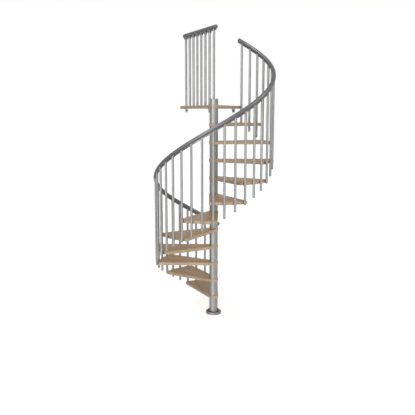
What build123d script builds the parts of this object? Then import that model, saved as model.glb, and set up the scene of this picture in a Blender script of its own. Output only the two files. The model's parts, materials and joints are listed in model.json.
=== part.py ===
from build123d import *
import math
import os

# Spiral staircase kit: wooden treads threaded on a steel column, a helical
# handrail carried by round bars, and a landing platform with its own guard rail.
# Millimetres and degrees. +Z is up, and the origin is on the floor, on the
# column's axis, under the base flange. Angles turn anticlockwise from +X.

# Climb
first_rise = 236.0
step_rise = 210.0
step_turn = 30.0
tread_total = 11
first_tread_angle = -255.0

# Clearances
pole_clearance = 0.3
rail_seat_clearance = 0.3
bush_seat_clearance = 0.3

# Column
column_diameter = 101.6
column_wall = 4.0
column_end_chamfer = 1.0
pole_diameter = 60.3
pole_wall = 5.0
base_diameter = 188.0
base_thickness = 30.0
base_edge_radius = 3.0
base_pole_socket_depth = 20.0
anchor_edge_distance = 19.0
anchor_hole_diameter = 11.0
anchor_hole_total = 4
anchor_first_angle = 45.0
cap_height = 74.0
cap_top_thickness = 6.0
cap_edge_radius = 3.0

# Treads and platform
tread_thickness = 36.0
tread_end_radius = 673.0
tread_half_angle = 19.0
tread_hub_diameter = 114.0
tread_corner_radius = 12.0
tread_edge_radius = 3.0
exit_edge_margin = 17.0
exit_edge_angle = 80.0

# Bars and handrail
bars_per_tread = 3
bar_diameter = 28.0
bar_stand_off = 9.0
bar_end_below_tread = 6.0
bar_end_chamfer = 2.0
start_foot_diameter = 70.0
start_foot_thickness = 8.0
bush_width = 18.0
spacer_diameter = 12.0
rail_diameter = 46.0
rail_stem_width = 16.0
rail_stem_depth = 12.0
rail_height_at_nosing = 791.0
rail_lower_overhang = 60.0
rail_upper_overhang = 40.0
rail_section_total = 2
rail_cap_length = 14.0
rail_cap_radius = 12.0

# Guard rail on the platform
guard_angle = 116.5
guard_bar_pitch = 115.7
guard_bar_total = 8
guard_rail_height = 884.0
guard_rail_overhang = 50.0
guard_socket_diameter = 46.0
guard_socket_drop = 47.0
guard_socket_top_share = 0.5

# Fixings
bracket_width = 38.0
bracket_plate = 5.0
bracket_drop = 48.0
bracket_reach = 60.0
bracket_pitch = 310.0
bracket_total = 3
bracket_hole_diameter = 11.0

# Sizes that follow
bar_turn = step_turn / bars_per_tread
bar_rise = step_rise / bars_per_tread
rail_pitch = step_rise * 360 / step_turn
column_radius = column_diameter / 2
anchor_circle_radius = base_diameter / 2 - anchor_edge_distance
pole_bore_diameter = pole_diameter + 2 * pole_clearance
hub_radius = tread_hub_diameter / 2
bar_radius = bar_diameter / 2
rail_radius = rail_diameter / 2
exit_edge_distance = tread_end_radius + exit_edge_margin
bar_circle_radius = tread_end_radius + bar_stand_off + bar_radius
first_bar_angle = first_tread_angle - step_turn / 2
last_bar_angle = first_bar_angle + step_turn * tread_total
platform_top = first_rise + step_rise * tread_total
platform_underside = platform_top - tread_thickness
cap_top = platform_top + cap_height


def polar(radius, angle):
    """Plan point at a radius and an angle about the column."""
    return (radius * math.cos(math.radians(angle)), radius * math.sin(math.radians(angle)))


def tread_angle(number):
    """Direction of a tread's middle line."""
    return first_tread_angle + step_turn * (number - 1)


def tread_top(number):
    """Height of a tread's walking face."""
    return first_rise + step_rise * (number - 1)


def rail_height(angle):
    """Height of the handrail's grip above the floor at an angle about the column."""
    climbed = bar_rise * (angle - first_bar_angle) / bar_turn
    return first_rise + rail_height_at_nosing + climbed


def rail_section(clearance):
    """Section of both rails, a round grip with a flat stem under it, grown by a clearance."""
    with BuildSketch(Plane.XY) as section:
        Circle(rail_radius + clearance)
        stem_reach = rail_radius + rail_stem_depth + clearance
        Rectangle(rail_stem_width + 2 * clearance, stem_reach, align=(Align.CENTER, Align.MIN))
    return section.sketch


def rail_run(section, turn):
    """Rail along the helix with its stem down, starting at angle zero and height zero."""
    with BuildPart() as run:
        with BuildLine() as run_path:
            Helix(pitch=rail_pitch, height=rail_pitch * turn / 360, radius=bar_circle_radius)
        start = Plane(origin=run_path.line @ 0, x_dir=(1, 0, 0), z_dir=run_path.line % 0)
        with BuildSketch(start):
            add(section)
        sweep(path=run_path.line, is_frenet=True)
    return run.part


def save(piece, name):
    """Labels a finished piece and writes it under the same name."""
    piece.label = name
    export_step(piece, f"parts/{name}.step")


os.makedirs("parts", exist_ok=True)

# Base flange: a round plate with a socket for the pole and four anchor holes
with BuildPart() as base_flange:
    with BuildSketch(Plane.XY):
        Circle(base_diameter / 2)
    extrude(amount=base_thickness)
    fillet(base_flange.edges().group_by(Axis.Z)[-1], radius=base_edge_radius)
    with BuildSketch(Plane.XY.offset(base_thickness)):
        Circle(pole_bore_diameter / 2)
    extrude(amount=-base_pole_socket_depth, mode=Mode.SUBTRACT)
    with BuildSketch(Plane.XY.offset(base_thickness)):
        with PolarLocations(anchor_circle_radius, anchor_hole_total, anchor_first_angle):
            Circle(anchor_hole_diameter / 2)
    extrude(amount=-base_thickness, mode=Mode.SUBTRACT)
save(base_flange.part, "base_flange")

# Centre pole: the tube that the treads and spacers are threaded on
pole_bottom = base_thickness - base_pole_socket_depth
pole_top = cap_top - cap_top_thickness
with BuildPart() as centre_pole:
    with BuildSketch(Plane.XY.offset(pole_bottom)):
        Circle(pole_diameter / 2)
        Circle(pole_diameter / 2 - pole_wall, mode=Mode.SUBTRACT)
    extrude(amount=pole_top - pole_bottom)
save(centre_pole.part, "centre_pole")

# Column spacers: tubes that keep the treads one rise apart
for number in range(1, tread_total + 2):
    spacer_bottom = base_thickness if number == 1 else tread_top(number - 1)
    spacer_top = tread_top(number) - tread_thickness
    with BuildPart() as column_spacer:
        with BuildSketch(Plane.XY.offset(spacer_bottom)):
            Circle(column_radius)
            Circle(column_radius - column_wall, mode=Mode.SUBTRACT)
        extrude(amount=spacer_top - spacer_bottom)
        outer_face = column_spacer.faces().filter_by(GeomType.CYLINDER).sort_by(SortBy.AREA)[-1]
        chamfer(outer_face.edges().filter_by(GeomType.CIRCLE), length=column_end_chamfer)
    save(column_spacer.part, f"column_spacer_{number:02d}")

# Column cap: closes the column above the platform
with BuildPart() as column_cap:
    with BuildSketch(Plane.XY.offset(platform_top)):
        Circle(column_radius)
    extrude(amount=cap_height)
    fillet(column_cap.edges().group_by(Axis.Z)[-1], radius=cap_edge_radius)
    with BuildSketch(Plane.XY.offset(platform_top)):
        Circle(column_radius - column_wall)
    extrude(amount=cap_height - cap_top_thickness, mode=Mode.SUBTRACT)
save(column_cap.part, "column_cap")

# Treads: wedges with a round hub, tangent edges and an arc for the outer end
tangent_turn = math.degrees(math.acos(hub_radius / tread_end_radius))
for number in range(1, tread_total + 1):
    middle = tread_angle(number)
    front = middle - tread_half_angle
    rear = middle + tread_half_angle
    with BuildPart() as tread:
        with BuildSketch(Plane.XY.offset(tread_top(number) - tread_thickness)) as tread_outline:
            with BuildLine():
                front_edge = Line(polar(hub_radius, front - tangent_turn), polar(tread_end_radius, front))
                end_middle = polar(tread_end_radius, middle)
                end_arc = ThreePointArc(front_edge @ 1, end_middle, polar(tread_end_radius, rear))
                rear_edge = Line(end_arc @ 1, polar(hub_radius, rear + tangent_turn))
                ThreePointArc(rear_edge @ 1, polar(-hub_radius, middle), front_edge @ 0)
            make_face()
            outer_corners = tread_outline.vertices().sort_by_distance((0, 0))[-2:]
            fillet(outer_corners, radius=tread_corner_radius)
        extrude(amount=tread_thickness)
        flat_faces = tread.faces().filter_by(Axis.Z)
        fillet(flat_faces.edges(), radius=tread_edge_radius)
        with BuildSketch(Plane.XY.offset(tread_top(number))):
            Circle(pole_bore_diameter / 2)
        extrude(amount=-tread_thickness, mode=Mode.SUBTRACT)
    save(tread.part, f"tread_{number:02d}")

# Platform: its front edge passes the last bar, its far edge runs beside the guard
# rail, and its straight exit edge meets the upper floor
front_edge_offset = hub_radius + bar_stand_off + bar_radius
front_edge_angle = last_bar_angle + math.degrees(math.asin(front_edge_offset / bar_circle_radius))


def edge_point(edge_angle, side, reach):
    """Plan point at a reach along an edge that is tangent to the hub on the given side."""
    hub_point = Vector(*polar(hub_radius, edge_angle + 90 * side))
    return hub_point + Vector(*polar(reach, edge_angle))


def exit_corner(edge_angle, side):
    """Plan point where an edge that is tangent to the hub meets the exit edge."""
    hub_distance = hub_radius * math.cos(math.radians(edge_angle + 90 * side - exit_edge_angle))
    reach = (exit_edge_distance - hub_distance) / math.cos(math.radians(edge_angle - exit_edge_angle))
    return edge_point(edge_angle, side, reach)


front_corner = exit_corner(front_edge_angle, -1)
guard_corner = exit_corner(guard_angle, 1)
with BuildPart() as platform:
    with BuildSketch(Plane.XY.offset(platform_underside)) as platform_outline:
        with BuildLine():
            front_edge = Line(edge_point(front_edge_angle, -1, 0), front_corner)
            Line(front_corner, guard_corner)
            guard_edge = Line(guard_corner, edge_point(guard_angle, 1, 0))
            hub_back = polar(-hub_radius, (front_edge_angle + guard_angle) / 2)
            ThreePointArc(guard_edge @ 1, hub_back, front_edge @ 0)
        make_face()
        outer_corners = platform_outline.vertices().sort_by_distance((0, 0))[-2:]
        fillet(outer_corners, radius=tread_corner_radius)
    extrude(amount=tread_thickness)
    fillet(platform.faces().filter_by(Axis.Z).edges(), radius=tread_edge_radius)
    with BuildSketch(Plane.XY.offset(platform_top)):
        Circle(pole_bore_diameter / 2)
    extrude(amount=-tread_thickness, mode=Mode.SUBTRACT)
save(platform.part, "platform")

# Rail sections: the rails' own one, and the slightly larger one cut into what carries them
rail_outline = rail_section(0)
seat_outline = rail_section(rail_seat_clearance)
cope_turn = math.degrees(rail_diameter / bar_circle_radius)
cope_drop = bar_rise * cope_turn / bar_turn
cope = rail_run(seat_outline, 2 * cope_turn)


def coped_bar(reach):
    """Bar at angle zero, from height zero up to the handrail, with its top forked over the stem."""
    with BuildPart() as coped:
        with BuildSketch(Plane.XY):
            with Locations((bar_circle_radius, 0)):
                Circle(bar_radius)
        extrude(amount=reach)
        chamfer(coped.edges().group_by(Axis.Z)[0], length=bar_end_chamfer)
        with Locations(Location((0, 0, reach - cope_drop), (0, 0, -cope_turn))):
            add(cope, mode=Mode.SUBTRACT)
    return coped.part


# Bars: each tread carries its own, all alike
bar_bottom_drop = tread_thickness + bar_end_below_tread
bar = coped_bar(step_rise + rail_height_at_nosing + bar_bottom_drop)

# Start bar: stands on the floor on a round foot, beside the first tread's front corner
start_upright = coped_bar(first_rise + rail_height_at_nosing)
with BuildPart() as start_bar:
    with BuildSketch(Plane.XY):
        with Locations((bar_circle_radius, 0)):
            Circle(start_foot_diameter / 2)
    extrude(amount=start_foot_thickness)
    chamfer(start_bar.edges().group_by(Axis.Z)[-1], length=bar_end_chamfer)
    add(start_upright)

# Bush: a plastic block, as tall as the wood, between a tread's rear bar and the wood
bush_reach = bar_radius + bar_stand_off - bush_seat_clearance
bush_seat_radius = bar_radius + bush_seat_clearance
with BuildPart() as bush:
    with BuildSketch(Plane.XY):
        SlotOverall(tread_thickness, bush_width)
    extrude(amount=bush_reach)
    with BuildSketch(Plane.YZ):
        Circle(bush_seat_radius)
    extrude(amount=tread_thickness, both=True, mode=Mode.SUBTRACT)

# Spacer: a small sleeve between each of the other bars and the wood
with BuildPart() as spacer:
    with BuildSketch(Plane.XY):
        Circle(spacer_diameter / 2)
    extrude(amount=bush_reach)
    with BuildSketch(Plane.YZ):
        Circle(bush_seat_radius)
    extrude(amount=spacer_diameter, both=True, mode=Mode.SUBTRACT)


def bush_plane(bar_angle, wood_top, toward):
    """Plane on a bar's axis, level with the wood's middle and facing it."""
    bar_place = (*polar(bar_circle_radius, bar_angle), wood_top - tread_thickness / 2)
    return Plane(origin=bar_place, x_dir=(0, 0, 1), z_dir=(*polar(1, toward), 0))


# The rear bar of each tread also holds the next tread's front corner, or the
# platform's front edge at the top
bush_planes = [bush_plane(first_bar_angle, tread_top(1), first_bar_angle + 180)]
spacer_planes = []
for number in range(1, tread_total + 1):
    bar_places = []
    for place in range(bars_per_tread):
        bar_angle = tread_angle(number) + bar_turn * (place + 1 - bars_per_tread / 2)
        bar_bottom = tread_top(number) - bar_bottom_drop - bar_rise * (bars_per_tread - 1 - place)
        bar_places.append(Location((0, 0, bar_bottom), (0, 0, bar_angle)))
        holders = bush_planes if place == bars_per_tread - 1 else spacer_planes
        holders.append(bush_plane(bar_angle, tread_top(number), bar_angle + 180))
    toward_next = front_edge_angle + 90 if number == tread_total else bar_angle + 180
    bush_planes.append(bush_plane(bar_angle, tread_top(number + 1), toward_next))
    with BuildPart() as balusters:
        with Locations(*bar_places):
            add(bar)
        if number == 1:
            with Locations(Location((0, 0, 0), (0, 0, first_bar_angle))):
                add(start_bar.part)
    save(balusters.part, f"balusters_{number:02d}")

# Handrail: a helix in equal sections that meet end to end
rail_start = first_bar_angle - math.degrees(rail_lower_overhang / bar_circle_radius)
rail_end = last_bar_angle + math.degrees(rail_upper_overhang / bar_circle_radius)
section_turn = (rail_end - rail_start) / rail_section_total
section_run = rail_run(rail_outline, section_turn)
for number in range(1, rail_section_total + 1):
    section_start = rail_start + section_turn * (number - 1)
    with BuildPart() as handrail:
        with Locations(Location((0, 0, rail_height(section_start)), (0, 0, section_start))):
            add(section_run)
    save(handrail.part, f"handrail_section_{number}")

# Guard rail: level, from above the column to the exit edge, with the handrail's section
guard_grip_height = platform_top + guard_rail_height
guard_direction = Vector(*polar(1, guard_angle))
guard_across = (*polar(1, guard_angle - 90), 0)
guard_length = guard_bar_pitch * (guard_bar_total - 1) + 2 * guard_rail_overhang
guard_start = Vector(*polar(-guard_rail_overhang, guard_angle), guard_grip_height)
guard_plane = Plane(origin=guard_start, x_dir=guard_across, z_dir=guard_direction)
with BuildPart() as guard_rail:
    with BuildSketch(guard_plane):
        add(rail_outline)
    extrude(amount=guard_length)
save(guard_rail.part, "guard_rail")

# Guard bars: the first stands on the column cap and the others on the platform
with BuildPart() as guard_balusters:
    for place in range(guard_bar_total):
        bar_foot = cap_top if place == 0 else platform_top
        with BuildSketch(Plane.XY.offset(bar_foot)):
            with Locations(polar(guard_bar_pitch * place, guard_angle)):
                Circle(bar_radius)
        extrude(amount=guard_grip_height - bar_foot)
    with BuildSketch(guard_plane):
        add(seat_outline)
    extrude(amount=guard_length, mode=Mode.SUBTRACT)
save(guard_balusters.part, "guard_balusters")

# Bushes and spacers: all the plastic pieces between bars and wood
with BuildPart() as bar_bushes:
    with Locations(*bush_planes):
        add(bush.part)
    with Locations(*spacer_planes):
        add(spacer.part)
save(bar_bushes.part, "bar_bushes")

# Guard socket: a plastic cup around the top of a guard bar, forked over the stem and
# rising part of the way around the grip
socket_radius = guard_socket_diameter / 2
socket_top_drop = rail_radius * guard_socket_top_share
with BuildPart() as guard_socket:
    with BuildSketch(Plane.XY.offset(-socket_top_drop)):
        Circle(socket_radius)
        Circle(bush_seat_radius, mode=Mode.SUBTRACT)
    extrude(amount=socket_top_drop - guard_socket_drop)
    with BuildSketch(Plane(origin=(-socket_radius, 0, 0), x_dir=(0, -1, 0), z_dir=(1, 0, 0))):
        add(seat_outline)
    extrude(amount=guard_socket_diameter, mode=Mode.SUBTRACT)

# Rail end cap: a rounded plug
with BuildPart() as rail_cap:
    with BuildSketch(Plane.XY):
        Circle(rail_radius)
    extrude(amount=rail_cap_length)
    fillet(rail_cap.edges().group_by(Axis.Z)[-1], radius=rail_cap_radius)
climb_angle = math.degrees(math.atan2(rail_pitch, 2 * math.pi * bar_circle_radius))


def helix_end_plane(angle, upward):
    """Plane across the handrail at an angle, facing up or down along the rail."""
    origin = (*polar(bar_circle_radius, angle), rail_height(angle))
    along = polar(math.cos(math.radians(climb_angle)), angle + 90)
    facing = Vector(*along, math.sin(math.radians(climb_angle))) * upward
    return Plane(origin=origin, z_dir=facing)


# Rail caps: the plugs on the four open ends of the two rails, and the guard bars' cups
cap_planes = [
    helix_end_plane(rail_start, -1),
    helix_end_plane(rail_end, 1),
    Plane(origin=guard_start, z_dir=-guard_direction),
    Plane(origin=guard_start + guard_direction * guard_length, z_dir=guard_direction),
]
socket_places = []
for place in range(1, guard_bar_total):
    socket_middle = (*polar(guard_bar_pitch * place, guard_angle), guard_grip_height)
    socket_places.append(Location(socket_middle, (0, 0, guard_angle)))
with BuildPart() as rail_caps:
    with Locations(*cap_planes):
        add(rail_cap.part)
    with Locations(*socket_places):
        add(guard_socket.part)
save(rail_caps.part, "rail_caps")

# Platform brackets: angles under the exit edge that bolt to the upper floor
exit_middle = (front_corner + guard_corner) / 2
exit_direction = Vector(*polar(1, exit_edge_angle + 90))
with BuildPart() as platform_brackets:
    for place in range(bracket_total):
        along = bracket_pitch * (place - (bracket_total - 1) / 2)
        origin = exit_middle + exit_direction * along + Vector(0, 0, platform_underside)
        inward = (*polar(-1, exit_edge_angle), 0)
        side_plane = Plane(origin=origin, x_dir=inward, z_dir=-exit_direction)
        with BuildSketch(side_plane):
            with BuildLine():
                Polyline(
                    (0, 0),
                    (bracket_reach, 0),
                    (bracket_reach, bracket_plate),
                    (bracket_plate, bracket_plate),
                    (bracket_plate, bracket_drop),
                    (0, bracket_drop),
                    close=True,
                )
            make_face()
        extrude(amount=bracket_width / 2, both=True)
        hole_middle = origin - Vector(0, 0, (bracket_plate + bracket_drop) / 2)
        with BuildSketch(Plane(origin=hole_middle, z_dir=inward)):
            Circle(bracket_hole_diameter / 2)
        extrude(amount=bracket_plate, mode=Mode.SUBTRACT)
save(platform_brackets.part, "platform_brackets")
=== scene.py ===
import json
import math

import bmesh
import bpy
from mathutils import Matrix, Vector


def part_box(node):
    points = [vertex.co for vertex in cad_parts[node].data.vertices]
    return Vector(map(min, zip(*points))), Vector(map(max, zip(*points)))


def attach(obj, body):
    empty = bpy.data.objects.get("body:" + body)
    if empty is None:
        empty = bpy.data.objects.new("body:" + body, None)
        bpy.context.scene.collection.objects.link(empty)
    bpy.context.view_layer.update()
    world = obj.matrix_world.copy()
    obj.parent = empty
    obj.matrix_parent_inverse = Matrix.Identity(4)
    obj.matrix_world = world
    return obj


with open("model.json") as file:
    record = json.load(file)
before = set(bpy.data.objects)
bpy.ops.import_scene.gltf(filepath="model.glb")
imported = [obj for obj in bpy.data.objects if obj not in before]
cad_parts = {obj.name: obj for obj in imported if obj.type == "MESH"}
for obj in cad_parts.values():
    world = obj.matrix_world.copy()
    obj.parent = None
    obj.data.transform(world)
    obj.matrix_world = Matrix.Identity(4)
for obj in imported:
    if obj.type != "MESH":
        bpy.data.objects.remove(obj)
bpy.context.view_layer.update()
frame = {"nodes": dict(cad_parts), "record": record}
nodes = frame["nodes"]
mounts = {mount["name"]: mount for mount in frame["record"]["mounts"]}
up = Vector((0.0, 0.0, 1.0))
down = Vector((0.0, 0.0, -1.0))
millimetre = 0.001

# Camera, fitted to the photograph: metres, degrees, and millimetres for lens and sensor
camera_place = (0.0445, -6.8340, 2.4430)
camera_pitch_down = 9.266
camera_turn = 0.9965
camera_lens = 49.70
sensor_width = 36.0

# Lamps: name, direction towards the lamp, strength, softness in degrees, kinds of reflection lit
lamps = (
    ("fill", Vector((0.30, -1.0, 0.22)), 2.05, 40.0, ("diffuse",)),
    ("glow", Vector((0.05, -0.99, 0.05)), 0.90, 30.0, ("glossy",)),
    ("sky", Vector((-0.70, -0.25, 0.67)), 0.50, 30.0, ("diffuse",)),
    ("back", Vector((0.35, 1.0, 0.10)), 0.90, 30.0, ("diffuse",)),
    ("streak", Vector((-0.46, -0.885, -0.04)), 2.20, 28.0, ("glossy",)),
    ("rim_left", Vector((-0.54, -0.19, 0.81)), 2.00, 20.0, ("glossy",)),
    ("rim_right", Vector((0.73, -0.19, 0.65)), 1.30, 22.0, ("glossy",)),
)
ambient_strength = 0.26
background_strength = 1.0

# Floor in metres, with the emission that lifts it to white for the camera
floor_reach = 40.0
floor_lift = 0.62
floor_roughness = 0.9
floor_grain_scale = 40.0
floor_grain_span = (0.3, 0.7)

# Stair layout in metres and degrees, repeated from the CAD model
first_rise = 0.236
step_rise = 0.210
step_turn = 30.0
tread_total = 11
first_tread_angle = -255.0
tread_thickness = 0.036
bars_per_tread = 3
bar_circle_radius = 0.696
bar_radius = 0.014
bar_bottom_drop = 0.042
rail_height_at_nosing = 0.791
platform_front_angle = 66.6
guard_angle = 116.5
anchor_first_angle = 45.0
bracket_plate = 0.005

# Small fasteners in metres, with the side counts of their turned forms
washer_radius = 0.012
washer_height = 0.0025
washer_ease = washer_height / 4
washer_sides = 32
nut_radius = 0.0098
nut_height = 0.008
nut_ease = nut_height / 6
nut_sides = 6
stud_radius = 0.005
stud_height = 0.014
stud_sides = 20
screw_radius = 0.006
screw_height = 0.0035
screw_sides = 20
fork_screw_radius = 0.004
fork_screw_height = 0.0025
fork_screw_drop = 0.029
plug_height = 0.003
plug_sides = 24
fastener_sink = 0.0006

# Domed forms as shares of radius and of height; the screw's last pair is its key recess
screw_shares = ((1.0, 0.0), (1.0, 0.25), (0.88, 0.65), (0.66, 0.9), (0.46, 1.0), (0.42, 0.4))
plug_shares = ((0.80, 0.0), (0.80, 0.3), (0.66, 0.75), (0.36, 1.0))

# Wood: staves in metres, noise stretched along them, colours as display values of 0 to 255
stave_length = 0.38
stave_width = 0.044
stave_offset = 0.43
stave_joint = 0.0004
stave_jump = (7.0, 3.0, 5.0)
grain_stretch = (1.6, 26.0, 9.0)
grain_scale = 2.2
grain_span = (0.35, 0.75)
grain_share = 0.70
grain_gloss_span = (0.2, 0.8)
pore_stretch = (14.0, 420.0, 420.0)
pore_span = (0.56, 0.72)
pore_share = 0.45
pore_depth = 0.0002
pore_strength = 0.25
joint_share = 0.45
# Painted shade: upright faces are mixed towards a greyer, darker wood tone by their direction
upright_shade_share = 0.50
upright_shade_span = (0.2, 0.8)
wood_roughness = (0.42, 0.56)
wood_pale = (208, 174, 129)
wood_deep = (186, 147, 100)
wood_grain = (156, 121, 84)
wood_pore = (128, 98, 70)
wood_joint = (112, 86, 62)
# Painted shade: the greyer, darker tone mixed onto upright faces
wood_upright_shade = (164, 150, 132)
tread_wood_shift = Vector((0.13, 0.017, 0.0))
platform_wood_shift = (0.5, 0.02, 0.0)

# Paint and plastic: noise scales per metre, and the shares of the darker tone
cloud_scale = 9.0
cloud_span = (0.3, 0.7)
cloud_share = 0.5
speck_scale = 900.0
speck_span = (0.45, 0.7)
speck_share = 0.35
skin_scale = 420.0
skin_depth = 0.0001
skin_strength = 0.15
paint_specular = 0.3
smoother_by = 0.03
rougher_by = 0.05

# Places of the colour sockets on the Mix node, which has one set for each kind of data
mix_first_colour = 6
mix_second_colour = 7
mix_colour_result = 2


def srgb(red, green, blue):
    """Linear colour with full alpha from display values of 0 to 255."""
    values = []
    for value in (red, green, blue):
        share = value / 255
        values.append(share / 12.92 if share <= 0.04045 else ((share + 0.055) / 1.055) ** 2.4)
    return (*values, 1.0)


class Graph:
    """Short way to build one node material around a Principled shader."""

    def __init__(self, name):
        self.material = bpy.data.materials.new(name)
        self.material.use_nodes = True
        self.tree = self.material.node_tree
        self.tree.nodes.clear()
        self.shader = self.node("ShaderNodeBsdfPrincipled")
        output = self.node("ShaderNodeOutputMaterial")
        self.link(self.shader.outputs["BSDF"], output.inputs["Surface"])

    def node(self, kind, **settings):
        """New node with its properties set."""
        made = self.tree.nodes.new(kind)
        for name, value in settings.items():
            setattr(made, name, value)
        return made

    def link(self, source, target):
        """Joins an output socket to an input socket."""
        self.tree.links.new(source, target)

    def place(self, angle=0.0, shift=(0.0, 0.0, 0.0)):
        """Object coordinates turned about +Z and moved."""
        coordinates = self.node("ShaderNodeTexCoord")
        mapping = self.node("ShaderNodeMapping")
        mapping.inputs["Location"].default_value = shift
        mapping.inputs["Rotation"].default_value = (0.0, 0.0, math.radians(angle))
        self.link(coordinates.outputs["Object"], mapping.inputs["Vector"])
        return mapping.outputs["Vector"]

    def noise(self, vector, scale, detail=4.0, roughness=0.55, distortion=0.0):
        """Noise value between 0 and 1."""
        made = self.node("ShaderNodeTexNoise")
        made.inputs["Scale"].default_value = scale
        made.inputs["Detail"].default_value = detail
        made.inputs["Roughness"].default_value = roughness
        made.inputs["Distortion"].default_value = distortion
        self.link(vector, made.inputs["Vector"])
        return made.outputs["Fac"]

    def stretch(self, value, span, result=(0.0, 1.0)):
        """Value moved from one range to another, clamped."""
        made = self.node("ShaderNodeMapRange")
        ends = ("From Min", "From Max", "To Min", "To Max")
        for name, number in zip(ends, (*span, *result)):
            made.inputs[name].default_value = number
        self.link(value, made.inputs["Value"])
        return made.outputs["Result"]

    def times(self, vector, factors):
        """Vector socket scaled by three plain numbers."""
        made = self.node("ShaderNodeVectorMath", operation="MULTIPLY")
        made.inputs[1].default_value = factors
        self.link(vector, made.inputs[0])
        return made.outputs["Vector"]

    def mix(self, factor, first, second):
        """Colour mix; each colour is a socket or a plain colour."""
        made = self.node("ShaderNodeMix", data_type="RGBA")
        self.link(factor, made.inputs["Factor"])
        self.put(first, made.inputs[mix_first_colour])
        self.put(second, made.inputs[mix_second_colour])
        return made.outputs[mix_colour_result]

    def put(self, value, target):
        """Links a socket, or sets a plain value."""
        if isinstance(value, bpy.types.NodeSocket):
            self.link(value, target)
        else:
            target.default_value = value

    def upright_shade_mask(self, most):
        """Share of painted shade that is 0 on level faces and rises to the given value on upright
        ones.
        """
        surface = self.node("ShaderNodeNewGeometry")
        parts = self.node("ShaderNodeSeparateXYZ")
        levelness = self.node("ShaderNodeMath", operation="ABSOLUTE")
        self.link(surface.outputs["Normal"], parts.inputs["Vector"])
        self.link(parts.outputs["Z"], levelness.inputs[0])
        return self.stretch(levelness.outputs[0], upright_shade_span, (most, 0.0))

    def bump(self, height, distance, strength):
        """Surface relief from a height value."""
        made = self.node("ShaderNodeBump")
        made.inputs["Distance"].default_value = distance
        made.inputs["Strength"].default_value = strength
        self.link(height, made.inputs["Height"])
        self.link(made.outputs["Normal"], self.shader.inputs["Normal"])


def wood_material(name, angle, shift):
    """Edge-glued hardwood staves that run along a tread at the given angle."""
    graph = Graph(name)
    along = graph.place(angle=-angle, shift=shift)
    staves = graph.node("ShaderNodeTexBrick", offset=stave_offset, offset_frequency=2)
    stave_settings = (
        ("Scale", 1.0),
        ("Mortar Size", stave_joint),
        ("Mortar Smooth", 0.3),
        ("Bias", 0.0),
        ("Brick Width", stave_length),
        ("Row Height", stave_width),
        ("Color1", (0.0, 0.0, 0.0, 1.0)),
        ("Color2", (1.0, 1.0, 1.0, 1.0)),
        ("Mortar", (0.5, 0.5, 0.5, 1.0)),
    )
    for socket, value in stave_settings:
        staves.inputs[socket].default_value = value
    graph.link(along, staves.inputs["Vector"])
    tone = graph.stretch(staves.outputs["Color"], (0.0, 1.0))

    # Each stave's tone moves its noise, so that the grain breaks at the joints
    moved = graph.node("ShaderNodeVectorMath", operation="MULTIPLY_ADD")
    moved.inputs[1].default_value = stave_jump
    graph.link(staves.outputs["Color"], moved.inputs[0])
    graph.link(along, moved.inputs[2])
    grain_place = graph.times(moved.outputs["Vector"], grain_stretch)
    grain = graph.noise(grain_place, grain_scale, detail=6.0, roughness=0.62, distortion=0.8)
    pore_place = graph.times(moved.outputs["Vector"], pore_stretch)
    pores = graph.noise(pore_place, 1.0, detail=2.0)

    colour = graph.mix(tone, srgb(*wood_pale), srgb(*wood_deep))
    colour = graph.mix(graph.stretch(grain, grain_span, (0.0, grain_share)), colour, srgb(*wood_grain))
    colour = graph.mix(graph.stretch(pores, pore_span, (0.0, pore_share)), colour, srgb(*wood_pore))
    joints = graph.stretch(staves.outputs["Fac"], (0.0, 1.0), (0.0, joint_share))
    colour = graph.mix(joints, colour, srgb(*wood_joint))
    # Painted shade: upright faces are mixed towards a greyer, darker tone than the tops
    colour = graph.mix(graph.upright_shade_mask(upright_shade_share), colour, srgb(*wood_upright_shade))
    graph.link(colour, graph.shader.inputs["Base Color"])
    gloss = graph.stretch(grain, grain_gloss_span, wood_roughness)
    graph.link(gloss, graph.shader.inputs["Roughness"])
    graph.bump(pores, pore_depth, pore_strength)
    return graph.material


def paint_material(name, colour, dark, metallic, roughness, edge=0.4):
    """Smooth paint or plastic with clouding, fine specks and an orange-peel skin."""
    graph = Graph(name)
    place = graph.place()
    cloud = graph.noise(place, cloud_scale, detail=3.0)
    speck = graph.noise(place, speck_scale, detail=1.0)
    shade = graph.mix(graph.stretch(cloud, cloud_span, (0.0, cloud_share)), colour, dark)
    shade = graph.mix(graph.stretch(speck, speck_span, (0.0, speck_share)), shade, dark)
    graph.link(shade, graph.shader.inputs["Base Color"])
    graph.shader.inputs["Metallic"].default_value = metallic
    graph.shader.inputs["Specular IOR Level"].default_value = paint_specular
    graph.shader.inputs["Specular Tint"].default_value = (edge, edge, edge, 1.0)
    gloss = graph.stretch(cloud, cloud_span, (roughness - smoother_by, roughness + rougher_by))
    graph.link(gloss, graph.shader.inputs["Roughness"])
    graph.bump(graph.noise(place, skin_scale, detail=2.0), skin_depth, skin_strength)
    return graph.material


def assign(material, *names):
    """Gives CAD nodes a material."""
    for name in names:
        slots = nodes[name].data.materials
        slots.clear()
        slots.append(material)


def polar(radius, angle, height=0.0):
    """Point at a radius and an angle about the column, at a height."""
    turn = math.radians(angle)
    return Vector((radius * math.cos(turn), radius * math.sin(turn), height))


def tread_angle(number):
    """Direction of a tread's middle line."""
    return first_tread_angle + step_turn * (number - 1)


def tread_top(number):
    """Height of a tread's walking face."""
    return first_rise + step_rise * (number - 1)


def tread_middle(number):
    """Height of the middle of a tread's thickness."""
    return tread_top(number) - tread_thickness / 2


def facing(origin, direction):
    """Placing matrix whose +Z points along a direction."""
    return Matrix.Translation(origin) @ direction.to_track_quat("Z", "Y").to_matrix().to_4x4()


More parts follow.
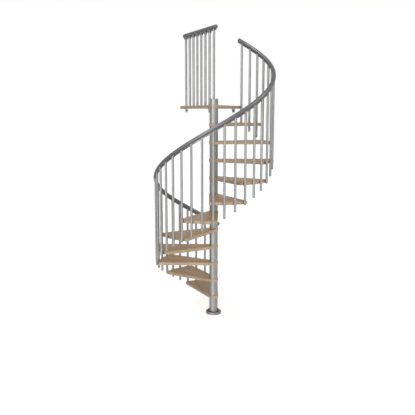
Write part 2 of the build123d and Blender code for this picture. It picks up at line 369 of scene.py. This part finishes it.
def turned(mesh, place, sides, profile):
    """Adds a turned or faceted solid, from pairs of radius and height about a place's +Z."""
    rings = []
    for radius, height in profile:
        ring = []
        for side in range(sides):
            turn = 2 * math.pi * side / sides
            spot = Vector((radius * math.cos(turn), radius * math.sin(turn), height))
            ring.append(mesh.verts.new(place @ spot))
        rings.append(ring)
    for lower, upper in zip(rings, rings[1:]):
        for side in range(sides):
            after = (side + 1) % sides
            mesh.faces.new((lower[side], lower[after], upper[after], upper[side]))
    mesh.faces.new(reversed(rings[0]))
    mesh.faces.new(rings[-1])


def eased(mesh, place, sides, radius, low, high, ease):
    """Adds a straight-sided solid from one height to another, with its top edge eased."""
    turned(mesh, place, sides, ((radius, low), (radius, high - ease), (radius - ease, high)))


def bolt_head(mesh, place):
    """Hexagon bolt head on a washer."""
    eased(mesh, place, washer_sides, washer_radius, -fastener_sink, washer_height, washer_ease)
    eased(mesh, place, nut_sides, nut_radius, washer_height, washer_height + nut_height, nut_ease)


def nut(mesh, place):
    """Hexagon nut on a washer with the stud's end through it."""
    bolt_head(mesh, place)
    nut_top = washer_height + nut_height
    eased(mesh, place, stud_sides, stud_radius, nut_top, washer_height + stud_height, nut_ease)


def button_screw(mesh, place, radius, height):
    """Domed screw head with a round recess for the key."""
    profile = [(radius, -fastener_sink)]
    profile += [(radius * across, height * along) for across, along in screw_shares]
    turned(mesh, place, screw_sides, profile)


def end_plug(mesh, place):
    """Domed plug in the open end of a bar."""
    profile = [(bar_radius * across, plug_height * along) for across, along in plug_shares]
    turned(mesh, place, plug_sides, profile)


def make_piece(name, slot, material, build, places, *sizes):
    """One object that holds a small form at each place, riding on the stair."""
    mesh = bmesh.new()
    for place in places:
        build(mesh, place, *sizes)
    data = bpy.data.meshes.new(name)
    mesh.to_mesh(data)
    mesh.free()
    data.materials.append(material)
    piece = bpy.data.objects.new(name, data)
    bpy.context.scene.collection.objects.link(piece)
    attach(piece, "root")


def make_base_nuts():
    """Nuts on the floor anchors, on top of the base flange."""
    base_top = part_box("base_flange")[1][2]
    anchors = mounts["base_anchors"]["dims"]
    circle_radius = anchors["pcd_mm"] * millimetre / 2
    places = []
    for number in range(anchors["count"]):
        angle = anchor_first_angle + 360 * number / anchors["count"]
        places.append(facing(polar(circle_radius, angle, base_top), up))
    make_piece("anchor_nuts", "steel", black_steel, nut, places)


def make_bracket_bolts():
    """Bolt heads in the brackets under the platform's exit edge."""
    places = []
    for name, mount in mounts.items():
        if name.startswith("platform_bolt"):
            inward = Vector(mount["axis"])
            places.append(facing(Vector(mount["pos_m"]) + inward * bracket_plate / 2, inward))
    make_piece("bracket_bolts", "steel", black_steel, bolt_head, places)


def bar_spots():
    """Angle, bottom height and wood contacts of each bar, the start bar on the floor first."""
    start_angle = tread_angle(1) - step_turn / 2
    spots = [(start_angle, 0.0, [(tread_middle(1), start_angle)])]
    bar_turn = step_turn / bars_per_tread
    bar_rise = step_rise / bars_per_tread
    for number in range(1, tread_total + 1):
        for place in range(bars_per_tread):
            angle = tread_angle(number) + bar_turn * (place + 1 - bars_per_tread / 2)
            behind = bars_per_tread - 1 - place
            bottom = tread_top(number) - bar_bottom_drop - bar_rise * behind
            contacts = [(tread_middle(number), angle)]
            if behind == 0:
                last = number == tread_total
                outward = platform_front_angle - 90 if last else angle
                contacts.append((tread_middle(number + 1), outward))
            spots.append((angle, bottom, contacts))
    return spots


def make_bar_fittings():
    """Screws at the bushes and in the forks under the rail, and plugs in the bars' lower ends."""
    spots = bar_spots()
    start_angle = spots[0][0]
    bush_places = []
    fork_places = []
    plug_places = []
    for angle, bottom, contacts in spots:
        axis = polar(bar_circle_radius, angle)
        for height, outward in contacts:
            side = polar(1.0, outward)
            bush_places.append(facing(axis + side * bar_radius + up * height, side))
        climbed = step_rise * (angle - start_angle) / step_turn
        grip = first_rise + rail_height_at_nosing + climbed
        side = polar(1.0, angle)
        fork_places.append(facing(axis + side * bar_radius + up * (grip - fork_screw_drop), side))
        # The start bar stands on the floor, so it takes no plug
        if bottom > 0:
            plug_places.append(facing(axis + up * bottom, down))
    make_piece("bush_screws", "steel", zinc, button_screw, bush_places, screw_radius, screw_height)
    fork_sizes = (fork_screw_radius, fork_screw_height)
    make_piece("rail_screws", "steel", zinc, button_screw, fork_places, *fork_sizes)
    make_piece("bar_plugs", "fitting", bush_grey, end_plug, plug_places)


def seen_directly(tree):
    """Socket that is 1 on camera, glossy and transmission rays and 0 on others."""
    path = tree.nodes.new("ShaderNodeLightPath")
    seen = path.outputs["Is Camera Ray"]
    for kind in ("Is Glossy Ray", "Is Transmission Ray"):
        either = tree.nodes.new("ShaderNodeMath")
        either.operation = "MAXIMUM"
        tree.links.new(seen, either.inputs[0])
        tree.links.new(path.outputs[kind], either.inputs[1])
        seen = either.outputs[0]
    return seen


def make_floor():
    """Pale floor that shows white to the camera, keeps the object's shadow and stops no lamp."""
    corners = []
    for x, y in ((-1, -1), (1, -1), (1, 1), (-1, 1)):
        corners.append((x * floor_reach, y * floor_reach, 0.0))
    mesh = bpy.data.meshes.new("floor")
    mesh.from_pydata(corners, [], [(0, 1, 2, 3)])
    floor = bpy.data.objects.new("floor", mesh)
    bpy.context.scene.collection.objects.link(floor)
    graph = Graph("floor_paper")
    graph.shader.inputs["Roughness"].default_value = floor_roughness
    texture = graph.stretch(graph.noise(graph.place(), floor_grain_scale), floor_grain_span)
    paper = graph.mix(texture, srgb(236, 236, 236), srgb(240, 240, 240))
    graph.link(paper, graph.shader.inputs["Base Color"])
    graph.shader.inputs["Emission Color"].default_value = (1.0, 1.0, 1.0, 1.0)
    lift = graph.stretch(seen_directly(graph.tree), (0.0, 1.0), (0.0, floor_lift))
    graph.link(lift, graph.shader.inputs["Emission Strength"])
    mesh.materials.append(graph.material)
    floor.visible_shadow = False


def make_light():
    """Even white surroundings and a few soft lamps."""
    world = bpy.data.worlds.new("studio")
    bpy.context.scene.world = world
    world.use_nodes = True
    tree = world.node_tree
    background = tree.nodes["Background"]
    background.inputs["Color"].default_value = (1.0, 1.0, 1.0, 1.0)
    level = tree.nodes.new("ShaderNodeMapRange")
    level.inputs["To Min"].default_value = ambient_strength
    level.inputs["To Max"].default_value = background_strength
    tree.links.new(seen_directly(tree), level.inputs["Value"])
    tree.links.new(level.outputs["Result"], background.inputs["Strength"])
    for name, direction, strength, softness, kinds in lamps:
        light = bpy.data.lights.new(name, "SUN")
        light.energy = strength
        light.angle = math.radians(softness)
        lamp = bpy.data.objects.new(name, light)
        lamp.visible_diffuse = "diffuse" in kinds
        lamp.visible_glossy = "glossy" in kinds
        lamp.rotation_euler = direction.to_track_quat("Z", "Y").to_euler()
        bpy.context.scene.collection.objects.link(lamp)


def make_camera():
    """Camera at the photograph's viewpoint."""
    data = bpy.data.cameras.new("camera")
    data.lens = camera_lens
    data.sensor_width = sensor_width
    camera = bpy.data.objects.new("camera", data)
    camera.location = camera_place
    camera.rotation_euler = (math.radians(90 - camera_pitch_down), 0.0, math.radians(camera_turn))
    bpy.context.scene.collection.objects.link(camera)
    bpy.context.scene.camera = camera


# Paints and plastics: name, colour, darker tone, metallic, roughness, tint of grazing reflections
steel = paint_material("steel_paint", srgb(148, 148, 147), srgb(136, 136, 135), 0.35, 0.42)
# Painted shade: the base flange takes the steel paint made darker, for the shade its top lies in under
# the stair
base_steel_shaded = paint_material("base_paint_shaded", srgb(138, 138, 137), srgb(126, 126, 125), 0.35, 0.42)
zinc = paint_material("zinc_plate", srgb(168, 168, 165), srgb(146, 146, 144), 0.80, 0.36)
black_steel = paint_material("black_steel", srgb(84, 84, 84), srgb(66, 66, 66), 0.40, 0.45)
rail_grey = paint_material("rail_plastic", srgb(108, 108, 110), srgb(96, 96, 98), 0.50, 0.38, 0.6)
cap_grey = paint_material("cap_plastic", srgb(106, 106, 108), srgb(94, 94, 96), 0.30, 0.42, 0.8)
bush_grey = paint_material("fitting_plastic", srgb(108, 108, 108), srgb(92, 92, 92), 0.0, 0.5)

steel_starts = ("centre", "column", "balusters", "guard_b", "platform_b")
assign(steel, *[name for name in nodes if name.startswith(steel_starts)])
assign(base_steel_shaded, "base_flange")
assign(rail_grey, "handrail_section_1", "handrail_section_2", "guard_rail")
assign(cap_grey, "rail_caps")
assign(bush_grey, "bar_bushes")
for number in range(1, tread_total + 1):
    shift = tread_wood_shift * number
    wood = wood_material(f"wood_tread_{number:02d}", tread_angle(number), shift)
    assign(wood, f"tread_{number:02d}")
assign(wood_material("wood_platform", guard_angle, platform_wood_shift), "platform")

make_base_nuts()
make_bracket_bolts()
make_bar_fittings()
make_floor()
make_light()
make_camera()
bpy.context.scene.view_settings.view_transform = "Standard"
